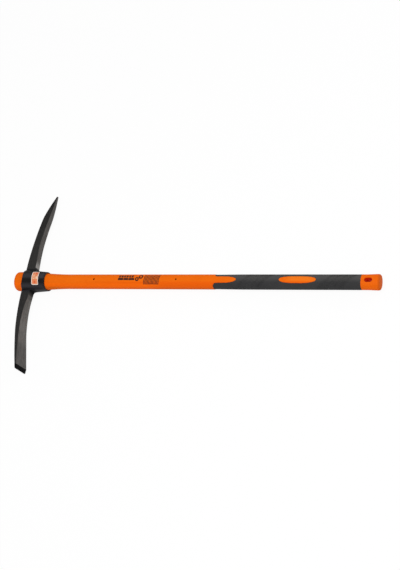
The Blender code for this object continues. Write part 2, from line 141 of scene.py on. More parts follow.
# Print on the shaft. A row of bars is its first start, its last start and how many; a span is along Y
INK_LIFT, INK_THICKNESS = 0.00002, 0.00003
INK_STEP_ALONG, INK_STEP_ACROSS = 0.002, 0.0012  # the size of its faces
SHORT_BARS, SHORT_BAR_LENGTH, SHORT_BAR_SPAN = (0.2826, 0.3152, 6), 0.0050, (0.0040, 0.0102)
LONG_BARS = ((0.2812, 0.2950), (0.2958, 0.3080), (0.3088, 0.3232))
LONG_BAR_SPAN = (-0.0026, 0.0030)
RINGS = ((0.3302, 0.0002, 0.0051, 0.0019), (0.3392, 0.0062, 0.0055, 0.0023))  # x, y, outer and inner radius
HATCH_BARS, HATCH_BAR_WIDTH, HATCH_SPAN = (0.3466, 0.3836, 12), 0.0019, (-0.0092, 0.0110)
HATCH_LEAN = 0.0024
BASE_BAR, BASE_BAR_SPAN = (0.3466, 0.3855), (-0.0112, -0.0098)


# Mesh helpers

SLIVER = 0.0000005  # shorter edges are closed up
WELD = 0.000002  # points closer together than this are one
SLOPE_STEP = 0.0002  # between the two points that give a skin's slope, from its middle


def ease(value, start, end):
    """0 before start, 1 after end, and level at both."""
    share = min(max((value - start) / (end - start), 0.0), 1.0)
    return share * share * (3 - 2 * share)


def mix(first, second, share):
    return first + (second - first) * share


def spread(start, end, count):
    return [mix(start, end, step / (count - 1)) for step in range(count)]


def object_from(bm, name, keep_normals=False):
    """An object at the origin, with its faces turned outwards where they aren't kept as they are."""
    if not keep_normals:
        bmesh.ops.recalc_face_normals(bm, faces=bm.faces)
    mesh = bpy.data.meshes.new(name)
    bm.to_mesh(mesh)
    bm.free()
    made = bpy.data.objects.new(name, mesh)
    bpy.context.scene.collection.objects.link(made)
    return made


def loft(name, sections):
    """A closed body through the sections, each a list of as many points, with flat ends."""
    bm = bmesh.new()
    loops = []
    for section in sections:
        points = [bm.verts.new(point) for point in section]
        loops.append([bm.edges.new((a, b)) for a, b in zip(points, points[1:] + points[:1])])
    for near, far in zip(loops, loops[1:]):
        bmesh.ops.bridge_loops(bm, edges=near + far)
    for end in (loops[0], loops[-1]):
        bmesh.ops.edgeloop_fill(bm, edges=end)
    return object_from(bm, name)


def prism(name, outline, bottom, top):
    """The outline, a list of (x, y), from one height to the other."""
    bm = bmesh.new()
    face = bm.faces.new([bm.verts.new((x, y, bottom)) for x, y in outline])
    raised = bmesh.ops.extrude_face_region(bm, geom=[face], use_keep_orig=True)["geom"]
    corners = [item for item in raised if isinstance(item, bmesh.types.BMVert)]
    bmesh.ops.translate(bm, verts=corners, vec=(0, 0, top - bottom))
    return object_from(bm, name)


def without_slivers(made):
    """Closes up the faces of no area that a Boolean can leave."""
    bm = bmesh.new()
    bm.from_mesh(made.data)
    bmesh.ops.dissolve_degenerate(bm, dist=SLIVER, edges=bm.edges)
    bm.to_mesh(made.data)
    bm.free()
    return made


def combine(target, operation, other):
    """Changes the target by a Boolean with a helper, which is then no longer needed."""
    step = target.modifiers.new(operation.title(), "BOOLEAN")
    step.operation = operation
    step.solver = "EXACT"
    step.object = other
    bpy.context.view_layer.update()
    graph = bpy.context.evaluated_depsgraph_get()
    result = bpy.data.meshes.new_from_object(target.evaluated_get(graph))
    target.modifiers.remove(step)
    target.data = result
    bpy.data.objects.remove(other)


def oval(half_height, half_width, power, sides):
    """Points (y, z) round a superellipse."""
    points = []
    for step in range(sides):
        turn = 2 * math.pi * (step + 0.5) / sides
        y = math.copysign(abs(math.cos(turn)) ** (2 / power), math.cos(turn))
        z = math.copysign(abs(math.sin(turn)) ** (2 / power), math.sin(turn))
        points.append((half_height * y, half_width * z))
    return points


def arc(centre, radius_x, radius_y, start, end, steps):
    turns = [mix(start, end, step / steps) for step in range(steps + 1)]
    return [(centre[0] + radius_x * math.cos(t), centre[1] + radius_y * math.sin(t)) for t in turns]


def round_bar(radius, start, end, sides):
    bm = bmesh.new()
    bmesh.ops.create_cone(bm, cap_ends=True, segments=sides, radius1=radius, radius2=radius,
                          depth=end - start)
    bmesh.ops.translate(bm, verts=bm.verts, vec=(0, 0, (start + end) / 2))
    return bm


# Handle

def handle_halves(x):
    """Half the handle's height and half its width at x, without its end roundings."""
    neck = ease(x, NECK_START, NECK_END)
    flare = ease(x, FLARE_START, FLARE_END)
    along = min(max((x - NECK_END) / (GRIP_END - NECK_END), 0.0), 1.0)
    height = mix(mix(HEAD_END_HEIGHT, SHAFT_HEIGHT, neck), REAR_HEIGHT, along)
    width = mix(mix(HEAD_END_WIDTH, SHAFT_WIDTH, neck), REAR_WIDTH, along)
    return mix(height, BUTT_HEIGHT, flare) / 2, mix(width, BUTT_WIDTH, flare) / 2


def handle_ring(x, outwards=0.0):
    half_height, half_width = handle_halves(x)
    return [(x, y, z) for y, z in oval(half_height + outwards, half_width + outwards,
                                       HANDLE_POWER, HANDLE_SIDES)]


def rounded_end(end, radius, inwards, steps):
    """Stations (x, how far the section is drawn in) of a quarter round at an end."""
    stations = []
    for step in range(steps + 1):
        turn = math.pi / 2 * step / steps
        stations.append((end + inwards * radius * (1 - math.sin(turn)), radius * (1 - math.cos(turn))))
    return stations


def handle_blank():
    crown = rounded_end(0.0, CROWN_ROUNDING, 1, 10)[::-1]
    butt = rounded_end(HANDLE_LENGTH, BUTT_ROUNDING, -1, 8)
    sections = [handle_ring(x, -drawn_in) for x, drawn_in in crown]
    neck = spread(CROWN_ROUNDING, NECK_END, 25)[1:]
    shaft = spread(NECK_END, FLARE_START, 31)[1:]
    flare = spread(FLARE_START, FLARE_END, 9)[1:]
    sections += [handle_ring(x) for x in neck + shaft + flare]
    sections += [handle_ring(x, -drawn_in) for x, drawn_in in butt]
    return loft("handle_moulding", sections)


def grip_dip(x):
    return GRIP_FRONT_DIP * (1 - ease(x, GRIP_START, GRIP_START + GRIP_DIP_LENGTH))


def grip_shell(name, outside, inside, end_room):
    """The grip's tube, its skins moved outwards by the two values and its ends by the third."""
    places = spread(GRIP_START - end_room, GRIP_START + GRIP_DIP_LENGTH, 9)
    places += spread(GRIP_START + GRIP_DIP_LENGTH, GRIP_END + end_room, 25)[1:]
    shell = loft(name, [handle_ring(x, outside - grip_dip(x)) for x in places])
    bore = [places[0] - CUT_ROOM] + places[1:-1] + [places[-1] + CUT_ROOM]
    combine(shell, "DIFFERENCE", loft("bore", [handle_ring(x, inside - GRIP_WALL) for x in bore]))
    return shell


def window_outline(room):
    shape = oval(WINDOW_LENGTH / 2 + room, WINDOW_HEIGHT / 2 + room, WINDOW_POWER, 96)
    return [(WINDOW_MIDDLE + along, up) for along, up in shape]


def tongue_outline(room):
    """What lies in front of the grip's scalloped edge, seen from above, larger by the room."""
    half = TONGUE_HEIGHT / 2 + room
    beyond = SHAFT_HEIGHT
    corner = LOBE_CORNER - room
    nose = arc((GRIP_START + TONGUE_STRAIGHT, 0), TONGUE_LENGTH - TONGUE_STRAIGHT + room, half,
               0, math.pi / 2, 20)

    def half_outline(front):
        lobe = arc((front + corner, half + corner), corner, corner, 1.5 * math.pi, math.pi, 10)
        return nose + lobe + [(front, beyond), (GRIP_START - CUT_ROOM, beyond)]

    upper = half_outline(GRIP_START + LOBE_SETBACK + room)
    lower = half_outline(GRIP_START + room)
    return upper + [(x, -y) for x, y in reversed(lower[1:])]


def cut_lands(body, room):
    """Opens the windows and the front scallops in a grip tube, on both faces."""
    reach = SHAFT_WIDTH
    combine(body, "DIFFERENCE", prism("window", window_outline(room), -reach, reach))
    combine(body, "DIFFERENCE", prism("tongue", tongue_outline(room), -reach, reach))


def groove_cutter(places, width, depth):
    """Slanted slots at the places: slabs through the handle, kept only just under the grip's skin."""
    reach = SHAFT_HEIGHT
    shift = reach / math.tan(GROOVE_SLANT)
    half = width / 2 / math.sin(GROOVE_SLANT)
    bm = bmesh.new()
    for x in places:
        outline = [(x - shift - half, -reach), (x - shift + half, -reach),
                   (x + shift + half, reach), (x + shift - half, reach)]
        slab = prism("slab", outline, -reach, reach)
        bm.from_mesh(slab.data)
        bpy.data.objects.remove(slab)
    slabs = object_from(bm, "slabs")
    stations = spread(places[0] - shift - GROOVE_PITCH, places[-1] + shift + GROOVE_PITCH, 9)
    combine(slabs, "DIFFERENCE", loft("inner", [handle_ring(x, -depth) for x in stations]))
    return slabs


def core_cavity():
    room = round_bar(CORE_DIAMETER / 2 + GAP, CORE_START - GAP, CORE_END + GAP, 48)
    bmesh.ops.rotate(room, verts=room.verts, matrix=Matrix.Rotation(math.pi / 2, 3, "Y"))
    cavity = object_from(room, "cavity")
    for place in PIN_PLACES:
        pin = round_bar(PIN_DIAMETER / 2, -SHAFT_WIDTH, SHAFT_WIDTH, 32)
        bmesh.ops.translate(pin, verts=pin.verts, vec=(place, 0, 0))
        combine(cavity, "UNION", object_from(pin, "pin"))
    return cavity


def slot_cutter():
    """The hang slot with flared mouths, as a loft of rounded slots along Z."""
    half_width = handle_halves(SLOT_MIDDLE)[1]
    stations = [(half_width + SLOT_LIP, 2 * SLOT_LIP)]
    for step in range(7):
        turn = math.pi / 2 * step / 6
        stations.append((half_width - 1.5 * SLOT_LIP * math.sin(turn), SLOT_LIP * (1 - math.sin(turn))))
    stations += [(-height, lip) for height, lip in reversed(stations)]
    straight = (SLOT_LENGTH - SLOT_HEIGHT) / 2
    sections = []
    for height, lip in stations:
        radius = SLOT_HEIGHT / 2 + lip
        rear = arc((SLOT_MIDDLE + straight, 0), radius, radius, -math.pi / 2, math.pi / 2, 20)
        front = arc((SLOT_MIDDLE - straight, 0), radius, radius, math.pi / 2, 1.5 * math.pi, 20)
        sections.append([(x, y, height) for x, y in rear + front])
    return loft("slot", sections)


def make_moulding():
    moulding = handle_blank()
    recess = grip_shell("recess", 2 * GRIP_WALL, -GAP, GAP)
    cut_lands(recess, -LAND_GAP)
    combine(moulding, "DIFFERENCE", recess)
    combine(moulding, "DIFFERENCE", core_cavity())
    combine(moulding, "DIFFERENCE", slot_cutter())
    return moulding


def make_grip():
    grip = grip_shell("soft_grip", 0.0, 0.0, 0.0)
    cut_lands(grip, 0.0)
    last = (GROOVES_IN_A_FIELD - 1) * FINE_STEPS
    for start in GROOVE_STARTS:
        steps = range(-FINE_BESIDE, last + FINE_BESIDE + 1)
        deep = [start + step * FINE_PITCH for step in steps if step % FINE_STEPS == 0]
        fine = [start + step * FINE_PITCH for step in steps if step % FINE_STEPS != 0]
        combine(grip, "DIFFERENCE", groove_cutter(deep, GROOVE_WIDTH, GROOVE_DEPTH))
        combine(grip, "DIFFERENCE", groove_cutter(fine, FINE_WIDTH, FINE_DEPTH))
    return without_slivers(grip)


# Head

def collar_halves(x):
    share = min(max((x - TAPER_START) / (COLLAR_MOUTH - TAPER_START), 0.0), 1.0)
    crown, mouth = handle_halves(NECK_START), handle_halves(COLLAR_MOUTH)
    height = mix(crown[0] + COLLAR_WALL, mouth[0] + MOUTH_WALL, share)
    width = mix(crown[1] + CHEEK_WALL, mouth[1] + MOUTH_CHEEK_WALL, share)
    return height + GAP, width + GAP


def collar_power(x):
    return mix(COLLAR_POWER, MOUTH_POWER, ease(x, TAPER_START, COLLAR_MOUTH))


def collar_ring(x, drawn_in):
    half_height, half_width = collar_halves(x)
    shape = oval(half_height - drawn_in, half_width - drawn_in, collar_power(x), COLLAR_SIDES)
    return [(x, y, z) for y, z in shape]


def make_collar():
    back = rounded_end(COLLAR_BACK, BACK_ROUNDING, 1, 12)[::-1]
    mouth = rounded_end(COLLAR_MOUTH, RIM_ROUNDING, -1, 8)
    sections = [collar_ring(x, drawn_in) for x, drawn_in in back]
    sections += [collar_ring(x, 0) for x in spread(TAPER_START, COLLAR_MOUTH - RIM_ROUNDING, 24)[:-1]]
    sections += [collar_ring(x, drawn_in) for x, drawn_in in mouth]
    return loft("forged_head", sections)


def crown_side_cutter():
    """What lies on the crown's side of a round back, seen along the arms. It runs out along each arm."""
    reach = FILLET_REACH * collar_halves(COLLAR_BACK)[0]
    turn = math.asin(reach / CHEEK_RADIUS)
    round_back = arc((COLLAR_BACK + CHEEK_RADIUS, 0), CHEEK_RADIUS, CHEEK_RADIUS, math.pi - turn,
                     math.pi + turn, 60)
    outline = round_back + [(-CUT_ROOM, -reach), (-CUT_ROOM, reach)]
    ends = ((-2 * reach, RUN_OUT), (-reach, 0), (reach, 0), (2 * reach, RUN_OUT))
    return loft("crown_side", [[(x - out, y, z) for x, z in outline] for y, out in ends])


def curve_through(rows, at):
    places = [row[0] for row in rows]
    last = len(rows) - 1
    part = max(index for index in range(last) if index == 0 or places[index] <= at)
    start, end = places[part], places[part + 1]
    share = (at - start) / (end - start)
    values = []
    for column in range(1, len(rows[0])):
        def slope(index):
            low, high = max(index - 1, 0), min(index + 1, last)
            return (rows[high][column] - rows[low][column]) / (places[high] - places[low])
        first, second = rows[part][column], rows[part + 1][column]
        out, into = slope(part) * (end - start), slope(part + 1) * (end - start)
        values.append((2 * share**3 - 3 * share**2 + 1) * first + (share**3 - 2 * share**2 + share) * out
                      + (3 * share**2 - 2 * share**3) * second + (share**3 - share**2) * into)
    return values


def fillet(reach, seat, radius):
    """How far a round of the radius stands out at this reach, where it ends level with the seat."""
    away = min(max(radius - (reach - seat), 0.0), radius)
    return radius - math.sqrt(radius**2 - away**2)


def fillet_seats(rows):
    """How far out the fillets end on the collar: on the handle's side, and on the flat sides."""
    middle, thickness, width = rows[0][1:]
    face = middle + thickness / 2
    inner = collar_halves(face + ROOT_FILLET)[0]
    half_height, half_width = collar_halves(face)
    out = (width / 2 + ROOT_FILLET_SIDES) / half_width
    sides = half_height * (1 - out**COLLAR_POWER) ** (1 / COLLAR_POWER)
    return inner - FILLET_SINK, sides - FILLET_SINK


def arm_size(rows, reach):
    """Middle, thickness and width with the fillets at the root, and the two fillets' own reach."""
    middle, thickness, width = curve_through(rows, reach)
    seat, side_seat = fillet_seats(rows)
    inner = fillet(reach, seat, ROOT_FILLET)
    sides = fillet(reach, side_seat, ROOT_FILLET_SIDES)
    return middle + inner / 2, thickness + inner, width + 2 * sides, inner, sides


def arm_section(side, reach, middle, thickness, width, inner=0.0, sides=0.0):
    """A rectangle with round corners. Those on the handle's side grow with the fillets."""
    radius = min(ARM_EDGE_RADIUS, LARGEST_ROUNDING * thickness, LARGEST_ROUNDING * width)
    points = []
    for quarter, (sign_x, sign_z) in enumerate(((1, 1), (-1, 1), (-1, -1), (1, -1))):
        round_x, round_z = (radius + inner, radius + sides) if sign_x > 0 else (radius, radius)
        centre = middle + sign_x * (thickness / 2 - round_x), sign_z * (width / 2 - round_z)
        start = quarter * math.pi / 2
        corner = arc(centre, round_x, round_z, start, start + math.pi / 2, EDGE_STEPS)
        points += [(x, side * reach, z) for x, z in corner]
    return points


def root_reaches(rows):
    """Closer together where the fillets bend."""
    seat, side_seat = fillet_seats(rows)
    bend = [side_seat + ROOT_FILLET_SIDES * share**2 for share in spread(0.0, 1.0, 16)]
    bend += [seat + ROOT_FILLET * share**2 for share in spread(0.1, 1.0, 12)]
    return [ARM_START] + sorted(bend)


def make_point_arm():
    tip = POINT_TIP
    start = POINT_ROWS[-1]
    root = root_reaches(POINT_ROWS)
    reaches = root + spread(root[-1], start[0], 40)[1:]
    sections = [arm_section(1, reach, *arm_size(POINT_ROWS, reach)) for reach in reaches]
    middles = POINT_ROWS[-2:] + (tip,)
    for step in range(1, TIP_STEPS):
        share = 1 - (1 - step / TIP_STEPS) ** TIP_CROWDING
        reach = mix(start[0], tip[0], share)
        middle = curve_through(middles, reach)[0]
        fullness = 1 - share**TIP_POWER
        sections.append(arm_section(1, reach, middle, mix(tip[2], start[2], fullness),
                                    mix(tip[3], start[3], fullness**TIP_WIDTH_POWER)))
    sections.append(arm_section(1, *tip))
    return loft("point_arm", sections)


def make_chisel_arm():
    root = root_reaches(CHISEL_ROWS)
    reaches = root + spread(root[-1], BEVEL_START, 56)[1:]
    sections = [arm_section(-1, reach, *arm_size(CHISEL_ROWS, reach)) for reach in reaches]
    blade = CHISEL_ROWS[-1]
    corner_start = CHISEL_REACH - BLADE_CORNER
    for step in range(CORNER_STEPS + 1):
        turn = CORNER_TURN * step / CORNER_STEPS
        reach = corner_start + BLADE_CORNER * math.sin(turn)
        share = (reach - BEVEL_START) / (CHISEL_REACH - BEVEL_START)
        width = blade[3] - 2 * BLADE_CORNER * (1 - math.cos(turn))
        sections.append(arm_section(-1, reach, mix(blade[1], EDGE_MIDDLE, share),
                                    mix(blade[2], EDGE_THICKNESS, share), width))
    return loft("chisel_arm", sections)


def make_head():
    head = make_collar()
    combine(head, "UNION", make_point_arm())
    combine(head, "UNION", make_chisel_arm())
    combine(head, "DIFFERENCE", crown_side_cutter())
    places = spread(COLLAR_BACK - CUT_ROOM, COLLAR_MOUTH - EYE_FLARE_LENGTH, 23)
    sections = [handle_ring(x, GAP) for x in places]
    sections.append(handle_ring(COLLAR_MOUTH + EYE_FLARE_LENGTH, GAP + 2 * EYE_FLARE))
    combine(head, "DIFFERENCE", loft("eye", sections))
    return head


# Label and print

def collar_skin(x, y):
    half_height, half_width = collar_halves(x)
    power = collar_power(x)
    return half_width * (1 - min(abs(y / half_height), 1) ** power) ** (1 / power)


def shaft_skin(x, y):
    half_height, half_width = handle_halves(x)
    return half_width * (1 - min(abs(y / half_height), 1) ** HANDLE_POWER) ** (1 / HANDLE_POWER)


def skin_patch(name, skin, place_at, rows, columns, lift, thickness):
    """A thin sheet on a skin.

    place_at gives (x, y) for shares across and along the sheet, and its UVs are those shares.
    """
    bm = bmesh.new()
    layer = bm.loops.layers.uv.new("UVMap")
    bmesh.ops.create_grid(bm, x_segments=columns, y_segments=rows, size=0.5)
    for face in bm.faces:
        for corner in face.loops:
            corner[layer].uv = corner.vert.co.xy + Vector((0.5, 0.5))
    for vertex in bm.verts:
        x, y = place_at(vertex.co.x + 0.5, vertex.co.y + 0.5)
        slope_x = (skin(x + SLOPE_STEP, y) - skin(x - SLOPE_STEP, y)) / (2 * SLOPE_STEP)
        slope_y = (skin(x, y + SLOPE_STEP) - skin(x, y - SLOPE_STEP)) / (2 * SLOPE_STEP)
        out = Vector((-slope_x, -slope_y, 1)).normalized()
        vertex.co = Vector((x, y, skin(x, y))) + out * lift
    bmesh.ops.remove_doubles(bm, verts=bm.verts, dist=WELD)
    bm.normal_update()
    if sum(face.normal.z for face in bm.faces) < 0:
        bmesh.ops.reverse_faces(bm, faces=bm.faces)
    made = object_from(bm, name, keep_normals=True)
    solid = made.modifiers.new("Thickness", "SOLIDIFY")
    solid.thickness = thickness
    solid.offset = 1
    bpy.context.view_layer.update()
    graph = bpy.context.evaluated_depsgraph_get()
    made.data = bpy.data.meshes.new_from_object(made.evaluated_get(graph))
    made.modifiers.clear()
    return made


def label_place(across, along):
    """A leaning rectangle with round corners."""
    down = (along - 0.5) * LABEL_LENGTH
    to_end = LABEL_LENGTH / 2 - abs(down)
    half = LABEL_WIDTH / 2
    if to_end < LABEL_CORNER:
        half -= LABEL_CORNER - math.sqrt(max(LABEL_CORNER**2 - (LABEL_CORNER - to_end) ** 2, 0.0))
    side = (2 * across - 1) * half
    return LABEL_MIDDLE[0] + side + LABEL_LEAN * down, LABEL_MIDDLE[1] + down + LABEL_SLOPE * side


def make_label():
    return skin_patch("collar_label", collar_skin, label_place, LABEL_ROWS, LABEL_COLUMNS,
                      LABEL_LIFT, LABEL_THICKNESS)


def bar(x_start, x_end, y_span, lean=0.0):
    def place(across, along):
        return mix(x_start, x_end, across) + lean * along, mix(*y_span, along)
    columns = max(2, round((x_end - x_start) / INK_STEP_ALONG))
    rows = max(3, round((y_span[1] - y_span[0]) / INK_STEP_ACROSS))
    return skin_patch("mark", shaft_skin, place, rows, columns, INK_LIFT, INK_THICKNESS)


def ring_patch(x, y, outer, inner):
    def place(across, along):
        turn = 2 * math.pi * across
        radius = mix(inner, outer, along)
        return x + radius * math.cos(turn), y + radius * math.sin(turn)
    return skin_patch("mark", shaft_skin, place, 2, 48, INK_LIFT, INK_THICKNESS)


def make_print():
    """Plain bars, two rings and a hatched block where the shaft is printed."""
    marks = [bar(start, start + SHORT_BAR_LENGTH, SHORT_BAR_SPAN) for start in spread(*SHORT_BARS)]
    marks += [bar(start, end, LONG_BAR_SPAN) for start, end in LONG_BARS]
    marks += [ring_patch(*ring) for ring in RINGS]
    marks += [bar(start, start + HATCH_BAR_WIDTH, HATCH_SPAN, HATCH_LEAN) for start in spread(*HATCH_BARS)]
    marks.append(bar(*BASE_BAR, BASE_BAR_SPAN))
    bm = bmesh.new()
    for made in marks:
        bm.from_mesh(made.data)
        bpy.data.objects.remove(made)
    return object_from(bm, "shaft_print", keep_normals=True)


# Materials

class Surface:
    """A material's node tree. Each method adds nodes and returns the socket with their result."""

    def __init__(self, name):
        self.material = bpy.data.materials.new(name)
        self.material.use_nodes = True
        self.tree = self.material.node_tree
        self.shader = self.tree.nodes["Principled BSDF"]
        self.coordinates = self.node("ShaderNodeTexCoord")
        self.place = self.coordinates.outputs["Object"]

    def node(self, kind, **settings):
        made = self.tree.nodes.new(kind)
        for key, value in settings.items():
            setattr(made, key, value)
        return made

    def feed(self, socket, value):
        if isinstance(value, bpy.types.NodeSocket):
            self.tree.links.new(value, socket)
        else:
            socket.default_value = value

    def noise(self, scale, detail, rough, place=None):
        made = self.node("ShaderNodeTexNoise")
        self.feed(made.inputs["Vector"], place or self.place)
        self.feed(made.inputs["Scale"], scale)
        self.feed(made.inputs["Detail"], detail)
        self.feed(made.inputs["Roughness"], rough)
        return made.outputs[0]

    def cells(self, scale):
        made = self.node("ShaderNodeTexVoronoi")
        self.feed(made.inputs["Vector"], self.place)
        self.feed(made.inputs["Scale"], scale)
        return made.outputs["Distance"]

    def stretched(self, x, y, z):
        made = self.node("ShaderNodeMapping")
        self.feed(made.inputs["Vector"], self.place)
        self.feed(made.inputs["Scale"], (x, y, z))
        return made.outputs[0]

    def maths(self, operation, first, second=0.0, third=0.0):
        made = self.node("ShaderNodeMath", operation=operation)
        self.feed(made.inputs[0], first)
        self.feed(made.inputs[1], second)
        self.feed(made.inputs[2], third)
        return made.outputs[0]

    def times(self, first, *others):
        for other in others:
            first = self.maths("MULTIPLY", first, other)
        return first

    def away(self, value, place):
        """How far the value is from the place."""
        return self.maths("ABSOLUTE", self.maths("SUBTRACT", value, place))

    def between(self, value, start, full, fading, end, smooth=True):
        """1 from full to fading, and 0 before start and after end."""
        return self.times(self.remap(value, start, full, 0, 1, smooth),
                          self.remap(value, fading, end, 1, 0, smooth))

    def remap(self, value, low, high, to_low, to_high, smooth=False):
        made = self.node("ShaderNodeMapRange")
        if smooth:
            made.interpolation_type = "SMOOTHSTEP"
        for socket, number in zip(("Value", "From Min", "From Max", "To Min", "To Max"),
                                  (value, low, high, to_low, to_high)):
            self.feed(made.inputs[socket], number)
        return made.outputs[0]

    def blend(self, share, first, second):
        made = self.node("ShaderNodeMix", data_type="RGBA")
        self.feed(made.inputs[0], share)
        self.feed(made.inputs[6], first)
        self.feed(made.inputs[7], second)
        return made.outputs[2]

    def bands(self, value, stops):
        """A grey ramp: each stop is a place from 0 to 1 and how pale it is there."""
        made = self.node("ShaderNodeValToRGB")
        self.feed(made.inputs[0], value)
        points = made.color_ramp.elements
        for place, pale in stops[1:-1]:
            points.new(place)
        for point, (place, pale) in zip(points, stops):
            point.position = place
            point.color = (0.97 * pale, 0.94 * pale, 1.12 * pale, 1)
        return made.outputs[0]

    def bump(self, height, strength, distance, below=None):
        made = self.node("ShaderNodeBump")
        self.feed(made.inputs["Height"], height)
        self.feed(made.inputs["Strength"], strength)
        self.feed(made.inputs["Distance"], distance)
        if below is not None:
            self.feed(made.inputs["Normal"], below)
        return made.outputs[0]

    def axes(self, place=None):
        made = self.node("ShaderNodeSeparateXYZ")
        self.feed(made.inputs[0], place or self.place)
        return made.outputs

    def attribute(self, name):
        return self.node("ShaderNodeAttribute", attribute_name=name).outputs["Fac"]

    def set(self, **values):
        for key, value in values.items():
            self.feed(self.shader.inputs[key.replace("_", " ")], value)
        return self.material


def black_steel():
    """Thin black paint on a forging, bluish on the collar, with painted light on the inner faces, painted
    reflections on the collar, painted shade at the chisel's root and black on the blade's bevel.
    """
    look = Surface("head_paint")
    broad = look.noise(26, 4, 0.6)
    fine = look.noise(420, 4, 0.6)
    mottle = look.noise(170, 4, 0.65)
    streaks = look.noise(60, 3, 0.55, look.stretched(3.0, 0.35, 3.0))
    x, y = look.axes()[:2]
    facing = look.axes(look.coordinates.outputs["Normal"])[0]
    inwards = look.remap(facing, 0.55, 0.85, 0, 1, True)

    # The paint: thick and thin, then paler on the chisel and at the point's root, with streaks and mottling
    thick_paint, thin_paint = (0.0036, 0.0034, 0.0036, 1), (0.0082, 0.0079, 0.0078, 1)
    chisel_paint, root_paint = (0.0270, 0.0260, 0.0250, 1), (0.0320, 0.0310, 0.0300, 1)
    streak_grey, mottle_grey = (0.026, 0.024, 0.022, 1), (0.034, 0.032, 0.030, 1)
    colour = look.blend(look.remap(broad, 0.35, 0.68, 0, 1), thick_paint, thin_paint)
    colour = look.blend(look.remap(y, -0.020, 0.020, 0.30, 0), colour, chisel_paint)
    point_root = look.times(look.remap(y, 0.020, 0.034, 0, 1), look.remap(y, 0.070, 0.150, 0.42, 0))
    colour = look.blend(point_root, colour, root_paint)
    colour = look.blend(look.remap(streaks, 0.45, 0.72, 0, 0.5), colour, streak_grey)
    colour = look.blend(look.remap(mottle, 0.56, 0.70, 0, 0.45), colour, mottle_grey)

    # The inner faces, which face the handle: paler than the other faces as painted light from that side, with
    # streaks and mottling, less of it towards the chisel's blade and root, and a painted highlight at the
    # point's root
    patches = look.remap(mottle, 0.52, 0.70, 0, 0.35)
    inner_lit_dark, inner_lit_pale = (0.098, 0.092, 0.084, 1), (0.160, 0.151, 0.140, 1)
    inner_lit_patch, inner_less_lit = (0.030, 0.029, 0.028, 1), (0.022, 0.020, 0.018, 1)
    painted_light_inner = look.blend(look.remap(streaks, 0.35, 0.65, 0, 1), inner_lit_dark, inner_lit_pale)
    painted_light_inner = look.blend(patches, painted_light_inner, inner_lit_patch)
    painted_light_inner = look.blend(look.remap(y, -0.172, -0.142, 0.50, 0.0, True), painted_light_inner, inner_less_lit)
    painted_light_inner = look.blend(look.remap(y, -0.054, -0.042, 0.0, 0.45, True), painted_light_inner, inner_less_lit)
    dark_point, pale_point = (0.054, 0.050, 0.046, 1), (0.092, 0.087, 0.081, 1)
    point_patch, root_painted_highlight = (0.022, 0.021, 0.020, 1), (0.350, 0.340, 0.325, 1)
    inner_point = look.blend(look.remap(streaks, 0.35, 0.65, 0, 1), dark_point, pale_point)
    inner_point = look.blend(patches, inner_point, point_patch)
    # A painted highlight at the root of the point's inner face
    inner_point = look.blend(look.remap(y, 0.034, 0.056, 0.95, 0.03, True), inner_point, root_painted_highlight)
    painted_light_inner = look.blend(look.remap(y, -0.030, 0.0, 0, 1), painted_light_inner, inner_point)
    colour = look.blend(look.times(inwards, 0.9), colour, painted_light_inner)

    # Wear on the edges, with a painted highlight along them
    wear_and_edge_highlight = look.times(look.attribute("wear"), look.remap(fine, 0.42, 0.62, 0.15, 1.0), 0.40)
    colour = look.blend(wear_and_edge_highlight, colour, (0.095, 0.088, 0.080, 1))

    # The collar: two paler bands in the black paint as painted reflections, a painted glint by the mouth and
    # painted shade at the rim
    side_shift = look.maths("MULTIPLY_ADD", inwards, -0.0035, y)
    at_eye = look.times(look.remap(side_shift, 0.0280, 0.0310, 1, 0, True),
                        look.remap(y, -0.0350, -0.0285, 0, 1, True))
    band_place = look.maths("MULTIPLY_ADD", broad, 0.0024, look.maths("SUBTRACT", y, 0.0012))
    # Painted reflections: pale and dark bands across the collar
    eye_paint_and_reflections = look.bands(look.remap(band_place, -0.030, 0.034, 0, 1), (
        (0.02, 0.012), (0.07, 0.004), (0.11, 0.008), (0.17, 0.028), (0.22, 0.020), (0.31, 0.001),
        (0.42, 0.002), (0.52, 0.024), (0.61, 0.023), (0.69, 0.002)))
    # A painted highlight by the mouth
    glint = look.times(look.remap(x, 0.062, 0.070, 0, 0.55, True),
                       look.remap(look.away(y, 0.0065), 0.0045, 0.0085, 1, 0, True))
    eye_paint_and_reflections = look.blend(glint, eye_paint_and_reflections, (0.0480, 0.0460, 0.0540, 1))
    thinly = look.remap(broad, 0.45, 0.75, 0, 0.30, True)
    eye_paint_and_reflections = look.blend(thinly, eye_paint_and_reflections, (0.0180, 0.0170, 0.0210, 1))
    # Painted shade at the rim, next to the handle
    rim_painted_shade = look.remap(x, RIM_SHADE, RIM_SHADE + 0.0012, 0, 0.35, True)
    eye_paint_and_reflections = look.blend(rim_painted_shade, eye_paint_and_reflections, (0.0020, 0.0018, 0.0018, 1))
    colour = look.blend(at_eye, colour, eye_paint_and_reflections)

    # Near black painted shade in the corner at the chisel's root, and black on the blade's bevel
    root_painted_shade = look.times(look.between(y, -0.0400, -0.0365, -0.0258, -0.0240),
                        look.between(x, 0.0440, 0.0475, 0.0570, 0.0630))
    colour = look.blend(root_painted_shade, colour, (0.0010, 0.0010, 0.0012, 1))
    bevel_black = look.remap(y, -BEVEL_START - 0.0006, -BEVEL_START + 0.0002, 1, 0)
    colour = look.blend(bevel_black, colour, (0.0012, 0.0012, 0.0014, 1))

    rough = look.remap(look.noise(150, 3, 0.6), 0.3, 0.7, 0.40, 0.58)
    rough = look.maths("MULTIPLY_ADD", look.maths("MAXIMUM", bevel_black, root_painted_shade), 0.5, rough)
    height = look.bump(fine, 0.40, 0.00018)
    height = look.bump(mottle, 0.45, 0.00050, height)
    height = look.bump(look.cells(240), 0.12, 0.00020, height)
    return look.set(Base_Color=colour, Roughness=rough, Normal=height, Specular_IOR_Level=0.12)


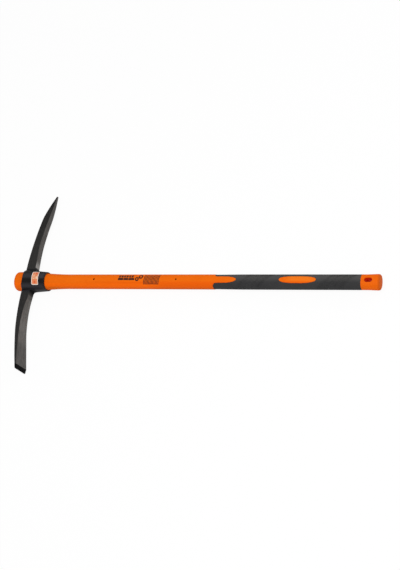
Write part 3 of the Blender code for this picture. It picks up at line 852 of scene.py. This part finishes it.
def orange_plastic():
    """Satin moulded plastic, with painted shade inside the hang slot and the pin holes."""
    look = Surface("orange_plastic")
    broad = look.noise(22, 3, 0.5, look.stretched(0.45, 1, 1))
    fine = look.noise(900, 3, 0.6)
    flecks = look.noise(170, 3, 0.6)
    x, y, z = look.axes()
    deep_orange, pale_orange = (0.785, 0.129, 0.0020, 1), (0.845, 0.149, 0.0028, 1)
    fleck_orange = (0.74, 0.108, 0.0014, 1)
    colour = look.blend(look.remap(broad, 0.3, 0.7, 0, 1), deep_orange, pale_orange)
    colour = look.blend(look.remap(flecks, 0.5, 0.75, 0, 0.35), colour, fleck_orange)

    # Painted shade low on the shaft, painted light on its lower side nearer the head, painted shade along
    # both flanks, and a paler painted highlight on the window's land
    # Painted shade on the lower side of the shaft
    lower = look.times(look.remap(y, -0.0085, -0.0030, 0.75, 0, True), look.remap(x, 0.180, 0.300, 0.1, 1))
    colour = look.blend(lower, colour, (0.80, 0.103, 0.0014, 1))
    near_head_painted_light = look.times(look.remap(y, -0.0125, -0.0075, 0.8, 0, True), look.remap(x, 0.350, 0.400, 1, 0))
    colour = look.blend(near_head_painted_light, colour, (0.93, 0.140, 0.0020, 1))
    flank_painted_shade = look.maths("ADD", look.remap(y, 0.0142, 0.0168, 0, 0.45, True),
                        look.remap(y, -0.0176, -0.0154, 0.45, 0, True))
    flank_painted_shade = look.times(flank_painted_shade, look.remap(x, 0.060, 0.100, 0, 1))
    colour = look.blend(flank_painted_shade, colour, (0.44, 0.100, 0.0020, 1))
    window_painted_highlight = look.times(look.remap(look.away(x, WINDOW_MIDDLE + 0.006), 0.016, 0.042, 0.65, 0, True),
                             look.remap(y, -0.006, 0.000, 0, 1, True))
    colour = look.blend(window_painted_highlight, colour, (0.845, 0.205, 0.0150, 1))

    # The butt, and its shaded end
    butt_orange = look.blend(flecks, (0.76, 0.116, 0.0020, 1), (0.81, 0.132, 0.0024, 1))
    colour = look.blend(look.remap(x, GRIP_END - GAP, GRIP_END, 0, 1), colour, butt_orange)
    colour = look.blend(look.remap(x, FLARE_END, HANDLE_LENGTH - 0.002, 0, 0.8, True), colour,
                        (0.56, 0.090, 0.0040, 1))

    # Each opening, with painted shade inside: middle, half length, half height, how high it is dark, where it
    # is plain again, colour
    slot = (SLOT_MIDDLE, SLOT_LENGTH / 2 + SLOT_LIP, SLOT_HEIGHT / 2 + SLOT_LIP, 0.0128, 0.0146,
            (0.79, 0.032, 0.0004, 1))
    pin_half = PIN_DIAMETER / 2 + GAP
    pins = [(place, pin_half, pin_half, 0.0152, 0.0162, (0.10, 0.007, 0.0008, 1)) for place in PIN_PLACES]
    from_seam, from_middle = look.maths("ABSOLUTE", z), look.maths("ABSOLUTE", y)
    # Painted shade on the walls inside each opening
    for place, half_length, half_height, dark_below, plain_above, inner in [slot] + pins:
        inside = look.times(look.maths("LESS_THAN", look.away(x, place), half_length),
                            look.maths("LESS_THAN", from_middle, half_height),
                            look.remap(from_seam, dark_below, plain_above, 1, 0, True))
        colour = look.blend(inside, colour, inner)

    rough = look.remap(look.noise(260, 3, 0.6), 0.3, 0.7, 0.52, 0.66)
    seam = look.remap(from_seam, 0.00010, 0.00030, 1, 0, True)
    height = look.bump(fine, 0.22, 0.00010)
    height = look.bump(look.noise(130, 2, 0.5), 0.10, 0.0003, height)
    height = look.bump(seam, 0.6, 0.00012, height)
    return look.set(Base_Color=colour, Roughness=rough, Normal=height, Specular_IOR_Level=0.05)


def grey_rubber():
    """Matt and fine grained, darker on its lower side as painted shade."""
    look = Surface("grey_rubber")
    broad = look.noise(30, 3, 0.55)
    fine = look.noise(1300, 3, 0.6)
    y = look.axes()[1]
    patchy = look.remap(broad, 0.3, 0.7, 0, 1)
    # Lit and shaded copies of the rubber: painted light on the upper side, painted shade on the lower side
    upper = look.blend(patchy, (0.060, 0.059, 0.0575, 1), (0.073, 0.0715, 0.069, 1))
    lower = look.blend(patchy, (0.0310, 0.0310, 0.0320, 1), (0.0390, 0.0390, 0.0400, 1))
    colour = look.blend(look.remap(y, -0.0080, 0.0050, 0, 1, True), lower, upper)
    colour = look.blend(look.remap(fine, 0.45, 0.7, 0, 0.25), colour, (0.064, 0.062, 0.060, 1))
    height = look.bump(look.cells(1500), 0.45, 0.00018)
    height = look.bump(fine, 0.25, 0.00010, height)
    rough = look.remap(fine, 0.3, 0.7, 0.72, 0.88)
    return look.set(Base_Color=colour, Roughness=rough, Normal=height, Specular_IOR_Level=0.08)


def glass_fibre():
    """Long strands in dark resin."""
    look = Surface("fibreglass")
    strands = look.noise(500, 3, 0.6, look.stretched(0.04, 1, 1))
    resin, glass = (0.085, 0.060, 0.045, 1), (0.130, 0.095, 0.070, 1)
    colour = look.blend(look.remap(strands, 0.35, 0.65, 0, 1), resin, glass)
    return look.set(Base_Color=colour, Roughness=look.remap(strands, 0.3, 0.7, 0.3, 0.5),
                    Normal=look.bump(strands, 0.3, 0.0002))


def label_paper():
    """A white border round an orange field with plain paler and deeper bars."""
    look = Surface("label_paper")
    u, v = look.axes(look.node("ShaderNodeUVMap", uv_map="UVMap").outputs[0])[:2]
    field = look.times(look.remap(look.away(u, 0.5), 0.405, 0.42, 1, 0),
                       look.remap(look.away(v, 0.5), 0.452, 0.460, 1, 0))
    fibres = look.noise(700, 3, 0.6)
    white = look.blend(fibres, (0.80, 0.66, 0.56, 1), (0.90, 0.80, 0.72, 1))
    colour = look.blend(fibres, (0.68, 0.185, 0.058, 1), (0.75, 0.24, 0.088, 1))
    deep, pale = (0.66, 0.085, 0.010, 1), (0.82, 0.57, 0.37, 1)
    # Each bar: from and to along the label, from and to across it, and its colour
    bars = (
        (0.10, 0.28, 0.36, 0.62, deep),
        (0.40, 0.60, 0.62, 0.86, pale),
        (0.40, 0.46, 0.14, 0.50, pale),
        (0.52, 0.58, 0.14, 0.50, pale),
        (0.66, 0.72, 0.14, 0.50, pale),
        (0.80, 0.93, 0.50, 0.86, deep),
    )
    for start, end, first, last, bar_colour in bars:
        inside = look.times(look.between(v, start, start + 0.01, end - 0.01, end, False),
                            look.between(u, first, first + 0.02, last - 0.02, last, False))
        colour = look.blend(inside, colour, bar_colour)
    colour = look.blend(field, white, colour)
    return look.set(Base_Color=colour, Roughness=look.remap(fibres, 0.3, 0.7, 0.32, 0.42),
                    Normal=look.bump(fibres, 0.08, 0.0001), Coat_Weight=0.2, Coat_Roughness=0.2)


def dark_ink():
    """Thin ink that lets some of the orange through."""
    look = Surface("print_ink")
    patchy = look.noise(600, 4, 0.65)
    thick_ink, thin_ink = (0.020, 0.008, 0.005, 1), (0.150, 0.030, 0.006, 1)
    colour = look.blend(look.remap(patchy, 0.42, 0.70, 0, 1), thick_ink, thin_ink)
    return look.set(Base_Color=colour, Roughness=look.remap(patchy, 0.3, 0.7, 0.4, 0.55),
                    Normal=look.bump(patchy, 0.1, 0.0001), Specular_IOR_Level=0.12)


SHORTEST_EDGE = 0.0008  # shorter edges count as this long, so that dense meshes don't wear more
FULL_WEAR = 260  # the bend in radians per metre that is worn bare


def mark_wear(made):
    """A point attribute, 1 on the outward edges and 0 on the faces, for the wear in the paint and a painted
    highlight along the edges.
    """
    bm = bmesh.new()
    bm.from_mesh(made.data)
    bm.normal_update()
    values = np.zeros(len(bm.verts))
    for edge in bm.edges:
        if len(edge.link_faces) == 2:
            bend = edge.calc_face_angle_signed(0) / max(edge.calc_length(), SHORTEST_EDGE)
            for vertex in edge.verts:
                values[vertex.index] = max(values[vertex.index], min(max(bend / FULL_WEAR, 0.0), 1.0))
    bm.free()
    attribute = made.data.attributes.new("wear", "FLOAT", "POINT")
    attribute.data.foreach_set("value", values.astype(np.float32))


def dress(piece, surface, crease):
    """Gives a piece its material, smooth but for the edges that turn more than the crease in degrees."""
    piece.data.materials.clear()
    piece.data.materials.append(surface)
    piece.data.shade_smooth()
    piece.data.set_sharp_from_angle(angle=math.radians(crease))


head = make_head()
dress(head, black_steel(), 32)
mark_wear(head)
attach(head, "head")
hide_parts("pick_head")

orange = orange_plastic()
moulding = make_moulding()
dress(moulding, orange, 32)
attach(moulding, "handle")
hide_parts("handle_jacket")

grip = make_grip()
dress(grip, grey_rubber(), 32)
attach(grip, "handle")
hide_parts("grip_sleeve")

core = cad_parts["handle_core"]
core.data.materials.clear()
core.data.materials.append(glass_fibre())

label = make_label()
dress(label, label_paper(), 40)
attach(label, "head")

print_marks = make_print()
dress(print_marks, dark_ink(), 40)
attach(print_marks, "handle")


# Floor, light and camera

FLOOR_HEIGHT = -0.0257  # just under the collar, wherever the head stands on the handle
FLOOR_HALF = 40
FLOOR_WHITE_SHARE = 0.94
WORLD_LIGHT = 0.46
SENSOR_HEIGHT, LENS = 36, 73.11
CAMERA_PLACE = (1.5236, -0.9148, 2.2199)
CAMERA_RIGHT, CAMERA_UP = (0.9174, 0.1532, -0.3674), (-0.0026, 0.9252, 0.3794)
CAMERA_BACK = (0.398, -0.3471, 0.8492)


def seen_share(tree, share):
    """1 or the given share where the camera, a mirror or glass looks at a surface, and 0 for its light."""
    path = tree.nodes.new("ShaderNodeLightPath")
    seen = path.outputs["Is Camera Ray"]
    for other in ("Is Glossy Ray", "Is Transmission Ray"):
        either = tree.nodes.new("ShaderNodeMath")
        either.operation = "MAXIMUM"
        tree.links.new(seen, either.inputs[0])
        tree.links.new(path.outputs[other], either.inputs[1])
        seen = either.outputs[0]
    scaled = tree.nodes.new("ShaderNodeMath")
    scaled.operation = "MULTIPLY"
    tree.links.new(seen, scaled.inputs[0])
    scaled.inputs[1].default_value = share
    return scaled.outputs[0]


def make_floor():
    """A level plane under the collar's cheek."""
    bm = bmesh.new()
    bmesh.ops.create_grid(bm, x_segments=2, y_segments=2, size=FLOOR_HALF)
    floor = object_from(bm, "floor", keep_normals=True)
    floor.location = (0, 0, FLOOR_HEIGHT)
    look = Surface("pale_floor")
    patch = look.noise(3, 2, 0.5)
    shade = look.blend(patch, (0.90, 0.90, 0.90, 1), (0.92, 0.92, 0.92, 1))
    look.set(Base_Color=shade, Roughness=0.7, Specular_IOR_Level=0.2)
    paper = look.node("ShaderNodeEmission")
    blend = look.node("ShaderNodeMixShader")
    look.feed(blend.inputs[0], seen_share(look.tree, FLOOR_WHITE_SHARE))
    look.feed(blend.inputs[1], look.shader.outputs[0])
    look.feed(blend.inputs[2], paper.outputs[0])
    look.feed(look.tree.nodes["Material Output"].inputs["Surface"], blend.outputs[0])
    floor.data.materials.append(look.material)


def area_light(name, place, aim, size, power):
    data = bpy.data.lights.new(name, "AREA")
    data.shape = "RECTANGLE"
    data.size, data.size_y = size
    data.energy = power
    made = bpy.data.objects.new(name, data)
    bpy.context.scene.collection.objects.link(made)
    turn = (Vector(aim) - Vector(place)).to_track_quat("-Z", "Y")
    made.matrix_world = Matrix.Translation(place) @ turn.to_matrix().to_4x4()


def make_world():
    """White where it is looked at, and a plain grey light on the object."""
    world = bpy.data.worlds.new("studio")
    world.use_nodes = True
    bpy.context.scene.world = world
    tree = world.node_tree
    background = tree.nodes["Background"]
    strength = tree.nodes.new("ShaderNodeMapRange")
    tree.links.new(seen_share(tree, 1.0), strength.inputs["Value"])
    strength.inputs["To Min"].default_value = WORLD_LIGHT
    strength.inputs["To Max"].default_value = 1.0
    tree.links.new(strength.outputs[0], background.inputs["Strength"])
    background.inputs["Color"].default_value = (1, 1, 1, 1)


def make_camera():
    data = bpy.data.cameras.new("camera")
    data.sensor_fit = "VERTICAL"
    data.sensor_height = SENSOR_HEIGHT
    data.lens = LENS
    data.clip_end = 1.5 * FLOOR_HALF
    made = bpy.data.objects.new("camera", data)
    bpy.context.scene.collection.objects.link(made)
    columns = [axis + (0,) for axis in (CAMERA_RIGHT, CAMERA_UP, CAMERA_BACK)] + [CAMERA_PLACE + (1,)]
    made.matrix_world = Matrix(columns).transposed()
    bpy.context.scene.camera = made


make_floor()
make_world()
area_light("key", place=(1.0, -0.6, 2.4), aim=(0.4, 0, 0), size=(1.6, 1.6), power=40)
area_light("side", place=(2.6, 1.6, 1.6), aim=(0.2, 0, 0), size=(1.4, 1.0), power=14)
make_camera()
bpy.context.scene.view_settings.view_transform = "Standard"
